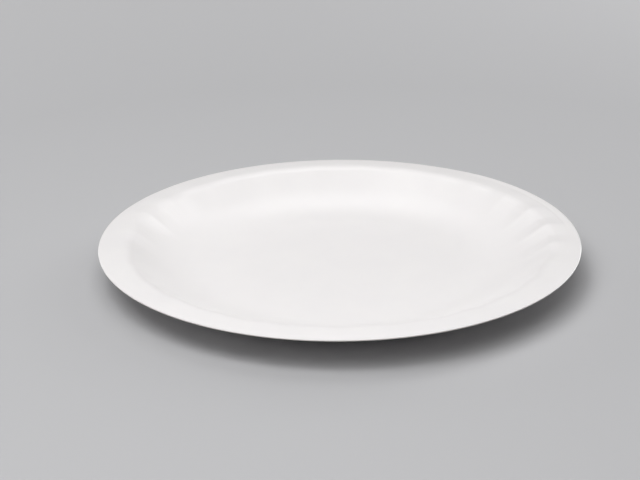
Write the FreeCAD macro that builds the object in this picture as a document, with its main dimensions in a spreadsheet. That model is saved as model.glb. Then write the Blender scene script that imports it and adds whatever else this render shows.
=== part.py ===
import FreeCAD, Part
import math
import os

import Sketcher

# A pressed paper plate: one sheet of thin white board with a flat floor, a long rounded foot, a
# sloping wall that is gathered into flutes, a rounded crest and a narrow brim that bends down.
# Millimetres, +Z up. The origin is the middle of the underside of the floor.
#
# Pressing a flat disc of board into a dish leaves too much board round the wall, and the flutes take
# it up. Each flute is a channel between two ridges. Floor and brim are the same for both, but the
# wall and the crest of a ridge lie flute_depth nearer to the middle than those of a channel, and its
# foot is a smaller arc. So a flute is deepest under the crest and runs out in the foot below and in
# the brim above. Board doesn't stretch: from ridge to channel its surface is straight lines.

# Driving sizes, in millimetres and degrees, and the number of flutes.
SIZES = [
    ("plate_diameter", 229.0),
    ("rim_height", 16.6),
    ("board_thickness", 0.45),
    ("slope_run", 43.0),
    ("wall_angle", 35.0),
    ("crest_radius", 14.0),
    ("brim_radius", 60.0),
    ("brim_width", 9.5),
    ("flute_count", 28),
    ("flute_depth", 1.6),
    ("floor_run", 2.0),
    ("trim_allowance", 0.8),
]

UPWARD = FreeCAD.Vector(0, 0, 1)
AWAY = FreeCAD.Vector(0, 1, 0)
QUARTER_TURN = math.pi / 2

# A sketch counts the points of a curve from one. Its own X axis, which starts at the origin, has
# the number minus one.
SKETCH_NUMBERS = {"x axis": -1}
for number, point in enumerate(("start", "end", "centre"), start=1):
    SKETCH_NUMBERS[point] = number

# Expressions that more than one feature shares.
PLATE_RADIUS = "Sizes.plate_diameter / 2"
HALF_PITCH = "180 / Sizes.flute_count"
# The brim is highest over the channels at this radius, and the floor ends one slope_run nearer to
# the middle.
BRIM_START = f"({PLATE_RADIUS} - Sizes.brim_width)"
FLOOR_RADIUS = f"({BRIM_START} - Sizes.slope_run)"
# The straight lines from ridge to channel pass nearest to the middle half-way between the two.
ROUGH_RADIUS = f"({PLATE_RADIUS} / cos({HALF_PITCH} / 2) + Sizes.trim_allowance)"
# The flutes begin on the flat floor, at the corners of the floor's polygon on the ridges and at the
# middles of its sides in the channels.
FLOOR_CORNER = f"({FLOOR_RADIUS} - Sizes.floor_run)"
FLOOR_SIDE = f"{FLOOR_CORNER} * cos({HALF_PITCH})"

os.makedirs("parts", exist_ok=True)
doc = FreeCAD.newDocument("PaperPlate")
sheet = doc.addObject("Spreadsheet::Sheet", "Sizes")
for row, (alias, value) in enumerate(SIZES, start=1):
    sheet.set(f"A{row}", alias)
    sheet.set(f"B{row}", str(value))
    sheet.setAlias(f"B{row}", alias)
doc.recompute()
size = dict(SIZES)

body = doc.addObject("PartDesign::Body", "Plate")
body.Label = "plate"


def origin_feature(role):
    """One of the planes or axes of the body's own origin."""
    return next(feature for feature in body.Origin.OriginFeatures if feature.Role == role)


def attach(feature, plane, axis=UPWARD, turn=None):
    """Puts a feature on one of the body's planes, turned about an axis by an expression."""
    feature.AttachmentSupport = [(origin_feature(plane), "")]
    feature.MapMode = "FlatFace"
    if turn:
        rotation = FreeCAD.Rotation(axis, sheet.evalExpression(turn))
        feature.AttachmentOffset = FreeCAD.Placement(FreeCAD.Vector(), rotation)
        feature.setExpression("AttachmentOffset.Rotation.Angle", turn)


def arc(centre, radius, first, last):
    """An arc that runs anticlockwise between two angles in radians."""
    return Part.ArcOfCircle(Part.Circle(centre, UPWARD, radius), first, last)


def board_curves(flute_in, floor_start):
    """The lines and arcs of the board's section where its crest lies flute_in nearer the middle.

    Each side is floor, foot arc, wall, crest arc and brim arc. The bottom is one board under the
    top, so the arcs of the two share their centres.
    """
    board = size["board_thickness"]
    wall = math.radians(size["wall_angle"])
    crest_radius = size["crest_radius"]
    brim_radius = size["brim_radius"]
    floor_radius = sheet.evalExpression(FLOOR_RADIUS)
    brim_start = sheet.evalExpression(BRIM_START)
    rough_radius = sheet.evalExpression(ROUGH_RADIUS)

    # The brim's arc stays. The crest's arc touches it from inside, so its centre moves along a
    # circle about the brim's centre, and leans in where the crest lies nearer the middle.
    brim = FreeCAD.Vector(brim_start, size["rim_height"] - brim_radius)
    lean = math.asin(flute_in / (brim_radius - crest_radius))
    crest = brim + FreeCAD.Vector(-flute_in, (brim_radius - crest_radius) * math.cos(lean))

    # The wall touches the crest's arc. The foot's arc touches the floor at its rim and the wall, so
    # its radius follows from the way between that rim and the line of the wall.
    wall_top = crest + FreeCAD.Vector(-math.sin(wall), math.cos(wall)) * crest_radius
    corner = wall_top.x - (wall_top.y - board) / math.tan(wall)
    foot_radius = (corner - floor_radius) / math.tan(wall / 2)
    foot = FreeCAD.Vector(floor_radius, board + foot_radius)

    curves = {}
    for side, depth in (("top", 0.0), ("bottom", board)):
        last_angle = math.acos((rough_radius - brim.x) / (brim_radius - depth))
        foot_arc = arc(foot, foot_radius + depth, -QUARTER_TURN, wall - QUARTER_TURN)
        crest_arc = arc(crest, crest_radius - depth, QUARTER_TURN + lean, QUARTER_TURN + wall)
        start = FreeCAD.Vector(floor_start, board - depth)
        curves[f"{side} floor"] = Part.LineSegment(start, foot_arc.StartPoint)
        curves[f"{side} foot"] = foot_arc
        curves[f"{side} wall"] = Part.LineSegment(foot_arc.EndPoint, crest_arc.EndPoint)
        curves[f"{side} crest"] = crest_arc
        curves[f"{side} brim"] = arc(brim, brim_radius - depth, last_angle, QUARTER_TURN + lean)
    curves["inner end"] = Part.LineSegment(
        curves["bottom floor"].StartPoint, curves["top floor"].StartPoint
    )
    curves["outer end"] = Part.LineSegment(
        curves["bottom brim"].StartPoint, curves["top brim"].StartPoint
    )
    return curves


class BoardSection:
    """A sketch of the board's section, in a plane through the Z axis."""

    def __init__(self, name, turn, flute_in, floor_start):
        self.sketch = body.newObject("Sketcher::SketchObject", name)
        attach(self.sketch, "XZ_Plane", AWAY, turn)
        self.numbers = dict(SKETCH_NUMBERS)
        evaluate = self.sketch.evalExpression
        for curve_name, curve in board_curves(evaluate(flute_in), evaluate(floor_start)).items():
            self.numbers[curve_name] = self.sketch.addGeometry(curve, False)
        self.join_curves()
        self.set_dimensions(flute_in, floor_start)

    def tie(self, kind, *names, value=()):
        """Adds a constraint between named curves and their named points."""
        numbers = [self.numbers[name] for name in names]
        return self.sketch.addConstraint(Sketcher.Constraint(kind, *numbers, *value))

    def drive(self, label, expression, kind, *names):
        """Adds a dimension, names it and binds it to an expression."""
        value = self.sketch.evalExpression(expression)
        self.sketch.renameConstraint(self.tie(kind, *names, value=(value,)), label)
        self.sketch.setExpression(f"Constraints.{label}", expression)

    def join_curves(self):
        """Makes each side one smooth line, closes the ends and keeps the two sides parallel."""
        for side in ("top", "bottom"):
            self.tie("Horizontal", f"{side} floor")
            self.tie("Tangent", f"{side} floor", "end", f"{side} foot", "start")
            self.tie("Tangent", f"{side} foot", "end", f"{side} wall", "start")
            self.tie("Tangent", f"{side} wall", "end", f"{side} crest", "end")
            self.tie("Tangent", f"{side} crest", "start", f"{side} brim", "end")
        self.tie("Coincident", "inner end", "start", "bottom floor", "start")
        self.tie("Coincident", "inner end", "end", "top floor", "start")
        self.tie("Coincident", "outer end", "start", "bottom brim", "start")
        self.tie("Coincident", "outer end", "end", "top brim", "start")
        for bend in ("foot", "crest", "brim"):
            self.tie("Coincident", f"top {bend}", "centre", f"bottom {bend}", "centre")
        self.tie("Parallel", "top wall", "bottom wall")
        self.tie("Vertical", "inner end")
        self.tie("Vertical", "outer end")
        self.tie("PointOnObject", "bottom floor", "start", "x axis")

    def set_dimensions(self, flute_in, floor_start):
        """Binds every size of the section to the sheet. The foot's radius follows from them."""
        origin = ("x axis", "start")
        brim_up ="Sizes.rim_height - Sizes.brim_radius"
        self.drive("board", "Sizes.board_thickness", "Distance", "inner end")
        self.drive("wall_angle", "Sizes.wall_angle * 1 deg", "Angle", "top wall")
        self.drive("crest_radius", "Sizes.crest_radius", "Radius", "top crest")
        self.drive("brim_radius", "Sizes.brim_radius", "Radius", "top brim")
        self.drive("foot_out", FLOOR_RADIUS, "DistanceX", *origin, "top foot", "centre")
        self.drive("brim_out", BRIM_START, "DistanceX", *origin, "top brim", "centre")
        self.drive("brim_up", brim_up, "DistanceY", *origin, "top brim", "centre")
        self.drive("crest_out", f"{BRIM_START} - {flute_in}", "DistanceX", *origin, "top crest", "centre")
        self.drive("floor_start", floor_start, "DistanceX", *origin, "inner end", "start")
        self.drive("rough_radius", ROUGH_RADIUS, "DistanceX", *origin, "outer end", "end")


def make_floor():
    """The middle of the floor: a flat plate of board with one straight side for each flute."""
    floor = body.newObject("PartDesign::AdditivePrism", "Floor")
    attach(floor, "XY_Plane", turn=HALF_PITCH)
    floor.setExpression("Polygon", "Sizes.flute_count")
    floor.setExpression("Circumradius", FLOOR_CORNER)
    floor.setExpression("Height", "Sizes.board_thickness")


def make_flutes():
    """One flute, lofted in straight lines from ridge to channel to ridge, and repeated round."""
    ridge_before = BoardSection("RidgeBefore", f"-{HALF_PITCH}", "Sizes.flute_depth", FLOOR_CORNER)
    channel = BoardSection("Channel", "0", "0", FLOOR_SIDE)
    ridge_after = BoardSection("RidgeAfter", HALF_PITCH, "Sizes.flute_depth", FLOOR_CORNER)

    flute = body.newObject("PartDesign::AdditiveLoft", "Flute")
    flute.Profile = ridge_before.sketch
    flute.Sections = [channel.sketch, ridge_after.sketch]
    flute.Ruled = True

    ring = body.newObject("PartDesign::PolarPattern", "Flutes")
    ring.Originals = [flute]
    ring.Axis = (origin_feature("Z_Axis"), [""])
    ring.Angle = 360
    ring.setExpression("Occurrences", "Sizes.flute_count")
    body.Tip = ring
    doc.recompute()


def trim_edge():
    """Cuts the rough outer ends of the flutes off at the plate's round edge."""
    outline = body.newObject("Sketcher::SketchObject", "RoundEdge")
    attach(outline, "XY_Plane")
    # The outer circle is only there to be well clear of the rough ends.
    for label, radius in (("edge", PLATE_RADIUS), ("clear", "Sizes.plate_diameter")):
        value = outline.evalExpression(radius)
        circle = outline.addGeometry(Part.Circle(FreeCAD.Vector(), UPWARD, value), False)
        centre = (circle, SKETCH_NUMBERS["centre"])
        origin = (SKETCH_NUMBERS["x axis"], SKETCH_NUMBERS["start"])
        outline.addConstraint(Sketcher.Constraint("Coincident", *centre, *origin))
        index = outline.addConstraint(Sketcher.Constraint("Radius", circle, value))
        outline.renameConstraint(index, label)
        outline.setExpression(f"Constraints.{label}", radius)
    trim = body.newObject("PartDesign::Pocket", "Trim")
    trim.Profile = outline
    trim.Type = "ThroughAll"
    trim.Reversed = True
    body.Tip = trim
    doc.recompute()


make_floor()
make_flutes()
trim_edge()

for item in doc.Objects:
    if "Invalid" in item.State or "Error" in item.State:
        raise RuntimeError(f"{item.Name} failed: {item.State}")
shape = body.Shape
if shape.isNull() or not shape.isValid() or len(shape.Solids) != 1:
    raise RuntimeError("the plate is not one valid solid")
shape.exportStep(f"parts/{body.Label}.step")
print(f"{body.Label}: {len(shape.Faces)} faces, {shape.Volume / 1000:.2f} cubic centimetres")
box = shape.optimalBoundingBox()
print(f"{box.XLength:.2f} by {box.YLength:.2f} by {box.ZLength:.2f} millimetres")
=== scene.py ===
# %% [markdown]
# A pressed paper plate. On the real object one disc of white board is pressed between two hot dies,
# so floor, foot, wall, crest and brim are a single sheet without a seam. It could be modelled as a
# turned profile, but then it would have no flutes. This lesson builds the sheet as one surface from
# formulas, gives its coated top, its bare underside and its cut edge a finish each, and lights it
# softly. First it loads the fixed frame, which holds the solid plate that the sheet stands for.

# %% Load the frame and keep its box
import math

import bpy
import numpy as np
from mathutils import Matrix, Vector


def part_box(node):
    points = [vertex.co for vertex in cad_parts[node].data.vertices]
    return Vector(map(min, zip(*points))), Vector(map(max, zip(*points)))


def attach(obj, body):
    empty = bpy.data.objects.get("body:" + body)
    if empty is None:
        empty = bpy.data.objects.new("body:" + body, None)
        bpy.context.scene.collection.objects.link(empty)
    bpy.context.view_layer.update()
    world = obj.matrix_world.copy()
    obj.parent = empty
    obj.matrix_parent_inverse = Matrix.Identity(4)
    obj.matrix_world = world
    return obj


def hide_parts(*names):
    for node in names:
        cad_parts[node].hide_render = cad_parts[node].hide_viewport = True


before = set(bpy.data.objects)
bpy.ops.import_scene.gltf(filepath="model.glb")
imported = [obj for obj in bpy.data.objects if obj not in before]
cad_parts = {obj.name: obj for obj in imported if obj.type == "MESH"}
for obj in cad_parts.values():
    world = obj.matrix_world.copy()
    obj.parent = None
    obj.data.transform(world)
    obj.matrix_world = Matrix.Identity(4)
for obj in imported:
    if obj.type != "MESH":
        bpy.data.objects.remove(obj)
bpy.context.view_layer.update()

plate_low, plate_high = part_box("plate")
print("the solid plate, in metres:", tuple(plate_low), tuple(plate_high))

# %% [markdown]
# The sizes of the pressing. The radius and the height of the real plate could be typed in, but the
# solid already has them, so they are read from its box and can't differ. The others are the sizes
# of the dies: a flat floor, a long rounded foot, a short wall at one angle, a rounded crest, and a
# brim that falls to its edge in one very shallow arc. Lengths are in metres, angles in radians.

# %% Sizes of the pressing
MM = 0.001
plate_radius = plate_high.x
rim_height = plate_high.z
board = 0.45 * MM
floor_radius = 62.0 * MM
foot_radius = 49.2 * MM
wall_angle = math.radians(35.0)
crest_radius = 9.0 * MM
brim_slope = math.radians(4.3)
edge_slope = math.radians(7.0)
flute_count = 28
flute_depth = 1.6 * MM
print(f"plate radius {plate_radius:.4f}, rim height {rim_height:.4f}")

# %% [markdown]
# The section of the board, from the middle of the floor to the edge: a line, an arc, a line and two
# more arcs, each touching the next. It could be a Bezier curve drawn by eye, but lines and arcs are
# what the dies are cut to, and their slope is known at every point. The section is a function of
# one parameter, a station whose whole part names the stretch and whose fraction runs along it.
# The crest's centre lies where the wall's line passes its radius over the cosine above it.

# %% The plain section
FLOOR, FOOT, WALL, CREST, BRIM, STRETCHES = 0, 1, 2, 3, 4, 5
foot_top_r = floor_radius + foot_radius * math.sin(wall_angle)
foot_top_z = board + foot_radius * (1 - math.cos(wall_angle))
crest_z = rim_height - crest_radius
wall_over_centre = crest_radius / math.cos(wall_angle)
crest_r = foot_top_r + (crest_z + wall_over_centre - foot_top_z) / math.tan(wall_angle)
wall_top_r = crest_r - crest_radius * math.sin(wall_angle)
brim_start = crest_r + crest_radius * math.sin(brim_slope)
brim_radius = (plate_radius - brim_start) / (math.sin(edge_slope) - math.sin(brim_slope))
brim_r = plate_radius - brim_radius * math.sin(edge_slope)
brim_z = crest_z + (crest_radius - brim_radius) * math.cos(brim_slope)


def plain_section(station):
    """Radius, height and slope of the top of the board, without flutes, for an array of stations.

    On an arc the slope runs evenly with the fraction, and a point is the arc's centre plus its
    radius times the sine and the cosine of the slope.
    """
    stretch = np.clip(np.floor(station), FLOOR, BRIM)
    along = station - stretch
    on = [stretch == kind for kind in range(STRETCHES)]
    level = 0 * along
    on_foot = along * wall_angle
    on_crest = wall_angle - along * (wall_angle + brim_slope)
    on_brim = -brim_slope - along * (edge_slope - brim_slope)
    wall_r = foot_top_r + along * (wall_top_r - foot_top_r)
    slope = np.select(on, [level, on_foot, level + wall_angle, on_crest, on_brim])
    radius = np.select(
        on,
        [
            along * floor_radius,
            floor_radius + foot_radius * np.sin(on_foot),
            wall_r,
            crest_r - crest_radius * np.sin(on_crest),
            brim_r - brim_radius * np.sin(on_brim),
        ],
    )
    height = np.select(
        on,
        [
            level + board,
            board + foot_radius * (1 - np.cos(on_foot)),
            foot_top_z + (wall_r - foot_top_r) * math.tan(wall_angle),
            crest_z + crest_radius * np.cos(on_crest),
            brim_z + brim_radius * np.cos(on_brim),
        ],
    )
    return radius, height, slope


print(f"the wall runs from {foot_top_r:.4f} to {wall_top_r:.4f}, the brim starts at {brim_start:.4f}")
print(f"the brim's radius is {brim_radius:.3f}")

# %% [markdown]
# The flutes take up the board that is too much once the disc is a dish. Each is a channel pressed
# into the board between two ridges. They could all be alike, as on the die, but board springs back:
# some channels stay deep and others are almost ironed flat again. So each ridge gets a strength. It
# is low all the way round, higher near the places where the real plate shows its flutes, and a
# little different from its neighbours by a seeded draw. At the same places the ridges have drifted
# a little round the plate, as they do where the disc wasn't quite centred on the die. The depth of
# a flute is measured level, and the sine of the wall's angle makes it square to the wall.

# %% Strength and drift of the ridges
rng = np.random.default_rng(7)
press_depth = flute_depth * math.sin(wall_angle)
plain_strength = 0.4
deep_places = ((7.5, 20.0, 1.35), (154.0, 12.0, 0.65))
strength_spread = 0.12
drifts = ((10.0, 35.0, 1.9), (160.0, 25.0, -1.4))


def bell(azimuth, place, spread):
    """One at a place round the plate, falling off to both sides. Place and spread are in degrees.

    The exponential of minus the square of the distance from the place over the spread.
    """
    distance = np.degrees(azimuth) - place
    distance = (distance + 180) % 360 - 180
    return np.exp(-((distance / spread) ** 2))


ridge_azimuth = (np.arange(flute_count) + 0.5) * 2 * np.pi / flute_count
ridge_strength = plain_strength + sum(
    more * bell(ridge_azimuth, place, spread) for place, spread, more in deep_places
)
ridge_strength *= 1 + strength_spread * rng.uniform(-1, 1, flute_count)
weakest, strongest = ridge_strength.min(), ridge_strength.max()
print("ridge strengths run from", weakest.round(2), "to", strongest.round(2))

# %% [markdown]
# The wave of the flutes. A sine round the plate would be the easy choice, but gathered board has
# straight slopes and sharp turns. The arccosine of a cosine is a zigzag. Making the cosine a little
# smaller first rounds its turns, and a power makes the channels wide and the ridges narrow. From
# foot to brim the flutes come and go: they are deepest at the top of the wall, under the crest.

# %% The flutes
turn_rounding = 0.012
ridge_narrowing = 1.35
deepest_radius = 98.5 * MM
flute_reach = 8.5 * MM


def ridge_wave(azimuth):
    """0 in the middle of a channel and 1 on a ridge.

    The arccosine of the rounded cosine of the flute's phase, stretched to run from 0 to 1 and
    raised to a power.
    """
    zigzag = np.arccos((1 - turn_rounding) * np.cos(azimuth * flute_count))
    lowest = np.arccos(1 - turn_rounding)
    return ((zigzag - lowest) / (np.pi - 2 * lowest)) ** ridge_narrowing


def smooth_step(part):
    """Runs from 0 to 1 without a corner: three times the square less twice the cube."""
    part = np.clip(part, 0, 1)
    return part * part * (3 - 2 * part)


def channel_depth(radius, azimuth):
    """How far a channel is pressed into the board, in metres.

    One less the wave at the azimuth without its drift, times the strengths of the ridges on both
    sides blended across the channel, times a bell over the radius.
    """
    drift = sum(np.radians(most) * bell(azimuth, place, spread) for place, spread, most in drifts)
    pressed = azimuth - drift
    turns = pressed * flute_count / (2 * np.pi)
    before = np.floor(turns - 0.5).astype(int)
    blend = smooth_step(turns - 0.5 - before)
    strength_before = ridge_strength[before % flute_count]
    strength_after = ridge_strength[(before + 1) % flute_count]
    strength = (1 - blend) * strength_before + blend * strength_after
    window = np.exp(-(((radius - deepest_radius) / flute_reach) ** 2))
    return press_depth * strength * (1 - ridge_wave(pressed)) * window


every_tenth_degree = np.radians(np.arange(0, 360, 0.1))
deepest = channel_depth(deepest_radius, every_tenth_degree).max()
print("the deepest channel is pressed in by", deepest.round(5), "metres")

# %% [markdown]
# The lip. Along one part of the edge, at the far right, the board has been bent up a little, which
# leaves a lighter band outside and a thin groove inside it. It could be painted into the finish,
# but a bend shows only by its shading, so it is added to the height of the surface.

# %% The bent lip
lip_place = 31.0
lip_spread = 20.0
lip_width = 3.6 * MM
lip_rise = 0.34 * MM
groove_depth = 0.07 * MM
groove_width = 0.7 * MM


def lip_lift(radius, azimuth):
    """Height that the bend adds to the brim.

    A straight ramp over the lip's width, less a narrow bell where the ramp starts, both times a
    window round the lip's place that is flat in its middle.
    """
    window = smooth_step(2 * bell(azimuth, lip_place, lip_spread))
    inward = plate_radius - radius
    ramp_up = np.clip(1 - inward / lip_width, 0, 1)
    groove = np.exp(-(((inward - lip_width) / groove_width) ** 2))
    return window * (lip_rise * ramp_up - groove_depth * groove)


lip_top = lip_lift(plate_radius, np.radians(lip_place))
print("the edge of the lip is raised by", lip_top.round(5), "metres")

# %% [markdown]
# The sheet itself. The real board is 0.45 mm thick everywhere, because pressing bends it but hardly
# thins it. Solidify could give it that thickness, but it moves the round edge outwards and gives no
# say over the cut. Here the top is a grid over the two parameters, the underside is the same grid
# moved in by one board along the surface's own normal, and a strip round the edge joins the two.
# The middle of each side is closed by a fan of triangles.

# %% Grid of the sheet
samples_per_flute = 20
rows_on = {FLOOR: 6, FOOT: 18, WALL: 6, CREST: 18, BRIM: 24}
END_OF_STRETCH = 1e-9


def stations():
    """Stations from the first ring to the edge, evenly spaced on each stretch."""
    pieces = [kind + (np.arange(rows_on[kind]) + 1) / rows_on[kind] for kind in rows_on]
    return np.concatenate(pieces) - END_OF_STRETCH


def side_points():
    """Points of the top and of the underside, as two arrays of rows by columns by three.

    The normal is the cross product of the grid's two differences, along the rows and round the
    columns, and the underside lies one board against it.
    """
    columns = samples_per_flute * flute_count
    azimuth = np.arange(columns) * 2 * np.pi / columns
    station_grid, azimuth_grid = np.meshgrid(stations(), azimuth, indexing="ij")
    radius, height, slope = plain_section(station_grid)
    pressed = channel_depth(radius, azimuth_grid)
    height = height + lip_lift(radius, azimuth_grid) - pressed * np.cos(slope)
    radius = radius + pressed * np.sin(slope)
    top = np.stack([radius * np.cos(azimuth_grid), radius * np.sin(azimuth_grid), height], axis=-1)
    outward = np.gradient(top, axis=0)
    around = np.roll(top, -1, axis=1) - np.roll(top, 1, axis=1)
    normal = np.cross(outward, around)
    normal /= np.linalg.norm(normal, axis=-1, keepdims=True)
    return top, top - board * normal


top_points, under_points = side_points()
row_count, column_count = top_points.shape[:2]
print("the grid has", row_count, "rows and", column_count, "columns on each side")
print("lowest point of the underside:", under_points[..., 2].min())

# %% [markdown]
# The faces. Each side could start as a disc from Blender's own shapes that is bent afterwards, but
# then its points would have to be found again. Here a face is the list of its points' numbers, and
# the grid gives those by counting: the row times the number of columns, plus the column. The order
# of the points turns a face outwards, so the faces of the underside are flipped.

# %% Faces of the sheet
TOP_FINISH, UNDER_FINISH, CUT_FINISH = 0, 1, 2


def ring_faces(first, flip):
    """Four-sided faces between the rows of one side, whose points are numbered from first on."""
    row, column = np.meshgrid(np.arange(row_count - 1), np.arange(column_count), indexing="ij")
    here = first + row * column_count + column
    beside = first + row * column_count + (column + 1) % column_count
    quads = np.stack([here, here + column_count, beside + column_count, beside], axis=-1)
    quads = quads.reshape(-1, 4)
    return quads[:, ::-1] if flip else quads


def fan_faces(middle, first, flip):
    """Three-sided faces from a middle point to the innermost row."""
    column = np.arange(column_count)
    beside = (column + 1) % column_count
    fan = np.stack([np.full(column_count, middle), first + column, first + beside], axis=-1)
    return fan[:, ::-1] if flip else fan


def cut_faces(per_side):
    """Four-sided faces of the cut edge, from the last row of the top to that of the underside."""
    column = np.arange(column_count)
    here = per_side - column_count + column
    beside = per_side - column_count + (column + 1) % column_count
    return np.stack([here, here + per_side, beside + per_side, beside], axis=-1)


# %% [markdown]
# The mesh. Top, underside and cut share their points, so the sheet is closed without a seam, and
# each face carries the number of its finish. The real cut is square, and shading it smooth would
# make it look rounded, so its faces are flat and all others smooth. The sheet rides on the plate's
# body and takes the place of the solid.

# %% Make the sheet and put it in the frame
def make_sheet(name):
    """The board as one closed mesh with its three finishes."""
    per_side = row_count * column_count
    middles = np.array([[0, 0, board], [0, 0, 0]])
    points = np.concatenate([top_points.reshape(-1, 3), under_points.reshape(-1, 3), middles])
    groups = [
        (ring_faces(0, False), TOP_FINISH),
        (fan_faces(2 * per_side, 0, False), TOP_FINISH),
        (ring_faces(per_side, True), UNDER_FINISH),
        (fan_faces(2 * per_side + 1, per_side, True), UNDER_FINISH),
        (cut_faces(per_side), CUT_FINISH),
    ]
    faces = [face for group, finish in groups for face in group.tolist()]
    finishes = np.concatenate([np.full(len(group), finish) for group, finish in groups])
    mesh = bpy.data.meshes.new(name)
    mesh.from_pydata(points.tolist(), [], faces)
    mesh.polygons.foreach_set("material_index", finishes.astype(np.int32))
    mesh.polygons.foreach_set("use_smooth", finishes != CUT_FINISH)
    mesh.update()
    sheet = bpy.data.objects.new(name, mesh)
    bpy.context.collection.objects.link(sheet)
    return sheet


plate_sheet = make_sheet("plate_sheet")
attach(plate_sheet, "root")
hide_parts("plate")
print("the sheet has", len(plate_sheet.data.polygons), "faces")

# %% [markdown]
# Finishes. The board is one material with three faces to the world: the coated top, the bare
# underside, and the cut where one sees between them. A flat white would do from far away, but
# close up paper is cloudy, has fibres and isn't equally smooth everywhere. All patterns read the
# object's own coordinates, which are metres here, so they stay on the board in every view.

# %% Node helpers
RAMP_START = 0.3
RAMP_END = 0.7


def new_material(name):
    """A material with an empty tree and its shader, ready for nodes."""
    material = bpy.data.materials.new(name)
    material.use_nodes = True
    nodes = material.node_tree.nodes
    links = material.node_tree.links
    nodes.clear()
    shader = nodes.new("ShaderNodeBsdfPrincipled")
    output = nodes.new("ShaderNodeOutputMaterial")
    links.new(shader.outputs["BSDF"], output.inputs["Surface"])
    return material, nodes, links, shader


def place_on(nodes, links, stretch=(1.0, 1.0, 1.0)):
    """The object's coordinates, each multiplied by its own factor."""
    place = nodes.new("ShaderNodeTexCoord")
    scaled = nodes.new("ShaderNodeVectorMath")
    scaled.operation = "MULTIPLY"
    scaled.inputs[1].default_value = stretch
    links.new(place.outputs["Object"], scaled.inputs[0])
    return scaled.outputs["Vector"]


def noise(nodes, links, vector, per_unit, detail, roughness=0.55):
    """Noise with so many blotches to the unit of the vector."""
    texture = nodes.new("ShaderNodeTexNoise")
    texture.inputs["Scale"].default_value = per_unit
    texture.inputs["Detail"].default_value = detail
    texture.inputs["Roughness"].default_value = roughness
    links.new(vector, texture.inputs["Vector"])
    return texture.outputs["Fac"]


def ramp(nodes, links, value, low, high):
    """A colour between low and high, by a value whose middle part counts."""
    mix = nodes.new("ShaderNodeValToRGB")
    mix.color_ramp.elements[0].position = RAMP_START
    mix.color_ramp.elements[1].position = RAMP_END
    mix.color_ramp.elements[0].color = (*low, 1)
    mix.color_ramp.elements[1].color = (*high, 1)
    links.new(value, mix.inputs["Fac"])
    return mix.outputs["Color"]


def between(nodes, links, value, low, high, start=0.0, end=1.0):
    """A number that runs from low to high while the value runs from start to end."""
    span = nodes.new("ShaderNodeMapRange")
    span.inputs["From Min"].default_value = start
    span.inputs["From Max"].default_value = end
    span.inputs["To Min"].default_value = low
    span.inputs["To Max"].default_value = high
    links.new(value, span.inputs["Value"])
    return span.outputs["Result"]


def times(nodes, links, first, second):
    """The product of two numbers."""
    product = nodes.new("ShaderNodeMath")
    product.operation = "MULTIPLY"
    links.new(first, product.inputs[0])
    links.new(second, product.inputs[1])
    return product.outputs["Value"]


def bump(nodes, links, heights, shader):
    """Adds bumps to a shader, one on the other. Each is a height and its depth in metres."""
    normal = None
    for height, depth in heights:
        node = nodes.new("ShaderNodeBump")
        node.inputs["Strength"].default_value = 1.0
        node.inputs["Distance"].default_value = depth
        links.new(height, node.inputs["Height"])
        if normal:
            links.new(normal, node.inputs["Normal"])
        normal = node.outputs["Normal"]
    links.new(normal, shader.inputs["Normal"])


# %% [markdown]
# The coated top. A thin coat of clay is rolled smooth on the board, which gives it a satin sheen
# over faint clouds of thicker and thinner fibre. Where the press gathers the board, fine creases
# run up the wall and over the crest. Noise that depends only on the direction from the middle
# gives lines that all point to it, and a window on the distance from the middle keeps them there.

# %% Coated top
coat_dark = (0.868, 0.848, 0.848)
coat_light = (0.884, 0.864, 0.860)
coat_clouds_per_metre = 45.0
coat_fibres_per_metre = 1400.0
coat_fibre_depth = 0.02 * MM
coat_cloud_depth = 0.15 * MM
crease_depth = 0.08 * MM
creases_per_radian = 26.0
crease_start = 84.0 * MM
crease_full = 92.0 * MM
crease_fade = 102.0 * MM
crease_end = 108.0 * MM


def radial_creases(nodes, links):
    """Fine creases towards the middle, as a height that is zero on the floor and on the brim."""
    flat = place_on(nodes, links, (1.0, 1.0, 0.0))
    direction = nodes.new("ShaderNodeVectorMath")
    direction.operation = "NORMALIZE"
    links.new(flat, direction.inputs[0])
    distance = nodes.new("ShaderNodeVectorMath")
    distance.operation = "LENGTH"
    links.new(flat, distance.inputs[0])
    towards = direction.outputs["Vector"]
    lines = noise(nodes, links, towards, creases_per_radian, detail=3.0, roughness=0.6)
    begins = between(nodes, links, distance.outputs["Value"], 0, 1, crease_start, crease_full)
    ends = between(nodes, links, distance.outputs["Value"], 1, 0, crease_fade, crease_end)
    return times(nodes, links, lines, times(nodes, links, begins, ends))


def coated_board():
    """Smooth white coat: clouds of two near whites, satin roughness, fibres and creases."""
    material, nodes, links, shader = new_material("coated_board")
    shader.inputs["Specular IOR Level"].default_value = 0.5
    here = place_on(nodes, links)
    cloud = noise(nodes, links, here, coat_clouds_per_metre, detail=3.0)
    fibre = noise(nodes, links, here, coat_fibres_per_metre, detail=4.0, roughness=0.7)
    links.new(ramp(nodes, links, cloud, coat_dark, coat_light), shader.inputs["Base Color"])
    links.new(between(nodes, links, fibre, low=0.27, high=0.35), shader.inputs["Roughness"])
    creases = radial_creases(nodes, links)
    heights = [(fibre, coat_fibre_depth), (cloud, coat_cloud_depth), (creases, crease_depth)]
    bump(nodes, links, heights, shader)
    return material


# %% [markdown]
# The bare underside and the cut. No coat covers the underside, so it is matt and a little warmer,
# and its fibres show. They lie mostly along the way the board ran through the paper machine, and
# squeezing the noise less along that way gives them a grain. The cut shows the layers of pulp that
# the board is built up from: the same noise, squeezed hard in height, gives thin level lines.

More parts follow.
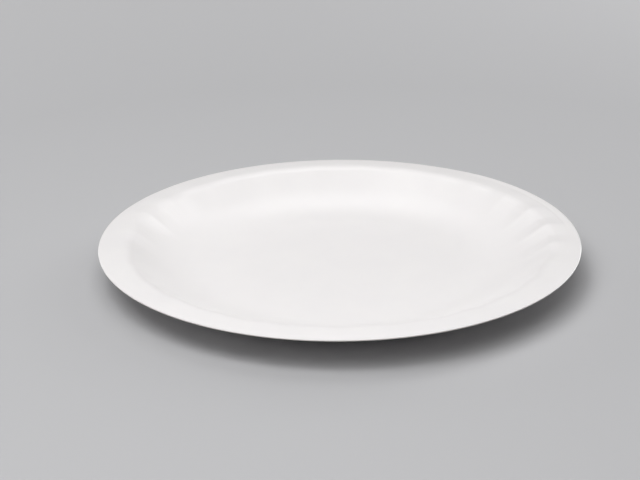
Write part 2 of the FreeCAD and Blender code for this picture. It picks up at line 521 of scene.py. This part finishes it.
# %% Bare underside and cut edge
bare_dark = (0.835, 0.812, 0.80)
bare_light = (0.868, 0.848, 0.835)
bare_clouds_per_metre = 60.0
bare_fibres_per_metre = 1300.0
along_the_grain = (0.3, 1.0, 1.0)
bare_fibre_depth = 0.05 * MM
bare_cloud_depth = 0.2 * MM
cut_dark = (0.76, 0.73, 0.70)
cut_light = (0.87, 0.85, 0.83)
cut_layers_per_metre = 700.0
squeezed_in_height = (1.0, 1.0, 14.0)
cut_layer_depth = 0.05 * MM


def bare_board():
    """Uncoated board: a warmer white with a grain of long fibres, almost matt."""
    material, nodes, links, shader = new_material("bare_board")
    shader.inputs["Specular IOR Level"].default_value = 0.25
    grain = place_on(nodes, links, along_the_grain)
    cloud = noise(nodes, links, place_on(nodes, links), bare_clouds_per_metre, detail=4.0)
    fibre = noise(nodes, links, grain, bare_fibres_per_metre, detail=5.0, roughness=0.7)
    links.new(ramp(nodes, links, cloud, bare_dark, bare_light), shader.inputs["Base Color"])
    links.new(between(nodes, links, fibre, low=0.72, high=0.9), shader.inputs["Roughness"])
    bump(nodes, links, [(fibre, bare_fibre_depth), (cloud, bare_cloud_depth)], shader)
    return material


def cut_board():
    """The cut through the board: thin level layers, rough and matt."""
    material, nodes, links, shader = new_material("cut_board")
    shader.inputs["Specular IOR Level"].default_value = 0.2
    squeezed = place_on(nodes, links, squeezed_in_height)
    layers = noise(nodes, links, squeezed, cut_layers_per_metre, detail=4.0, roughness=0.7)
    links.new(ramp(nodes, links, layers, cut_dark, cut_light), shader.inputs["Base Color"])
    links.new(between(nodes, links, layers, low=0.8, high=0.95), shader.inputs["Roughness"])
    bump(nodes, links, [(layers, cut_layer_depth)], shader)
    return material


for finish in (coated_board(), bare_board(), cut_board()):
    plate_sheet.data.materials.append(finish)
print("finishes:", [finish.name for finish in plate_sheet.data.materials])

# %% [markdown]
# The floor it stands on. A white plate on a white floor would lose its outline, so the floor is a
# plain pale grey. One large square is enough, wide enough that no view sees its end, and a hair
# below the plate so that the two faces don't fight. The lamps stand close, so the floor would go
# dark further off. There it is shown a little paler, to the camera and in gleams only, so that no
# light from it falls on the plate.

# %% Floor
floor_half = 8.0
floor_drop = 0.02 * MM
floor_colour = (0.48, 0.48, 0.49, 1)
floor_glow = 0.4
glow_start = 0.3
glow_full = 1.8
floor_corners = [(-1, -1), (1, -1), (1, 1), (-1, 1)]
floor_points = [(x * floor_half, y * floor_half, -floor_drop) for x, y in floor_corners]
floor_mesh = bpy.data.meshes.new("floor")
floor_mesh.from_pydata(floor_points, [], [(0, 1, 2, 3)])
floor = bpy.data.objects.new("floor", floor_mesh)
bpy.context.collection.objects.link(floor)
floor_finish, nodes, links, shader = new_material("pale_floor")
shader.inputs["Base Color"].default_value = floor_colour
shader.inputs["Roughness"].default_value = 0.9
shader.inputs["Specular IOR Level"].default_value = 0.1
seen = nodes.new("ShaderNodeLightPath")
shown = nodes.new("ShaderNodeMath")
shown.operation = "MAXIMUM"
links.new(seen.outputs["Is Camera Ray"], shown.inputs[0])
links.new(seen.outputs["Is Glossy Ray"], shown.inputs[1])
away = nodes.new("ShaderNodeVectorMath")
away.operation = "LENGTH"
links.new(place_on(nodes, links), away.inputs[0])
paler = between(nodes, links, away.outputs["Value"], 0.0, floor_glow, glow_start, glow_full)
shader.inputs["Emission Color"].default_value = (1, 1, 1, 1)
links.new(times(nodes, links, paler, shown.outputs["Value"]), shader.inputs["Emission Strength"])
floor.data.materials.append(floor_finish)
print("the floor is", 2 * floor_half, "metres wide")

# %% [markdown]
# The camera. The plate's outline in the photograph is an ellipse, and how flat it is tells how high
# the camera stands: about 22 degrees above the table. Near and far side differ little, so it stands
# several plate widths away with a long lens. The picture leans by half a degree, and so does this
# camera.

# %% Camera
camera_elevation = math.radians(21.83)
camera_distance = 0.9
camera_roll = math.radians(-0.61)
focal_length = 106.08
sensor_width = 36.0
aim = Vector((-9.28 * MM, 0, 15.37 * MM))
back = Vector((0, -math.cos(camera_elevation), math.sin(camera_elevation)))
side = Vector((1, 0, 0))
upward = back.cross(side)
rolled_side = side * math.cos(camera_roll) + upward * math.sin(camera_roll)
rolled_up = upward * math.cos(camera_roll) - side * math.sin(camera_roll)
camera = bpy.data.objects.new("camera", bpy.data.cameras.new("camera"))
bpy.context.collection.objects.link(camera)
camera.data.lens = focal_length
camera.data.sensor_width = sensor_width
turned = Matrix((rolled_side, rolled_up, back)).transposed().to_4x4()
camera.matrix_world = Matrix.Translation(aim + back * camera_distance) @ turned
bpy.context.scene.camera = camera
print("the camera stands at", tuple(round(value, 3) for value in camera.matrix_world.translation))

# %% [markdown]
# The light. A white plate shows its shape only by small steps of grey, so it stands in a tent of
# soft lamps, as it would in a product studio. Two large ones high in front carry the level, and a
# weaker one lower in front lifts the near brim. One high behind gives the long gleam on the far
# foot. Three more behind, lower down, light the walls at both ends and draw their flutes. Each is
# a rectangle on one sphere round the plate, placed by azimuth and elevation, so it is easy to say
# which way its light comes from. Azimuth 270 is the viewer's side.

# %% Light
lamp_distance = 1.3
lamps = (
    ("front", 270, 62, 0.9, 0.9, 6.27),
    ("front_left", 210, 62, 0.75, 0.75, 7.53),
    ("front_low", 250, 35, 0.6, 0.6, 2.22),
    ("back", 90, 66, 0.9, 0.6, 3.57),
    ("back_right", 45, 35, 0.6, 0.6, 2.41),
    ("back_right_low", 45, 10, 0.6, 0.6, 5.02),
    ("back_left_low", 135, 10, 0.6, 0.6, 2.70),
)
world_strength = 0.03


def softbox(name, azimuth, elevation, width, height, power):
    """A rectangular lamp on a sphere round the plate, facing its middle.

    Its place is the distance times the cosines and sines of its two angles in degrees.
    """
    lamp = bpy.data.lights.new(name, "AREA")
    lamp.shape = "RECTANGLE"
    lamp.size = width
    lamp.size_y = height
    lamp.energy = power
    across, up = math.radians(azimuth), math.radians(elevation)
    place = Vector((math.cos(up) * math.cos(across), math.cos(up) * math.sin(across), math.sin(up)))
    holder = bpy.data.objects.new(name, lamp)
    bpy.context.collection.objects.link(holder)
    holder.location = place * lamp_distance
    holder.rotation_mode = "QUATERNION"
    holder.rotation_quaternion = (-place).to_track_quat("-Z", "Y")


for lamp_line in lamps:
    softbox(*lamp_line)

world = bpy.data.worlds.new("studio")
world.use_nodes = True
bpy.context.scene.world = world
sky = world.node_tree.nodes["Background"]
sky.inputs["Color"].default_value = (1, 1, 1, 1)
sky.inputs["Strength"].default_value = world_strength
print(len(lamps), "lamps of", sum(line[-1] for line in lamps), "watts together")

bpy.context.scene.view_settings.view_transform = "Standard"
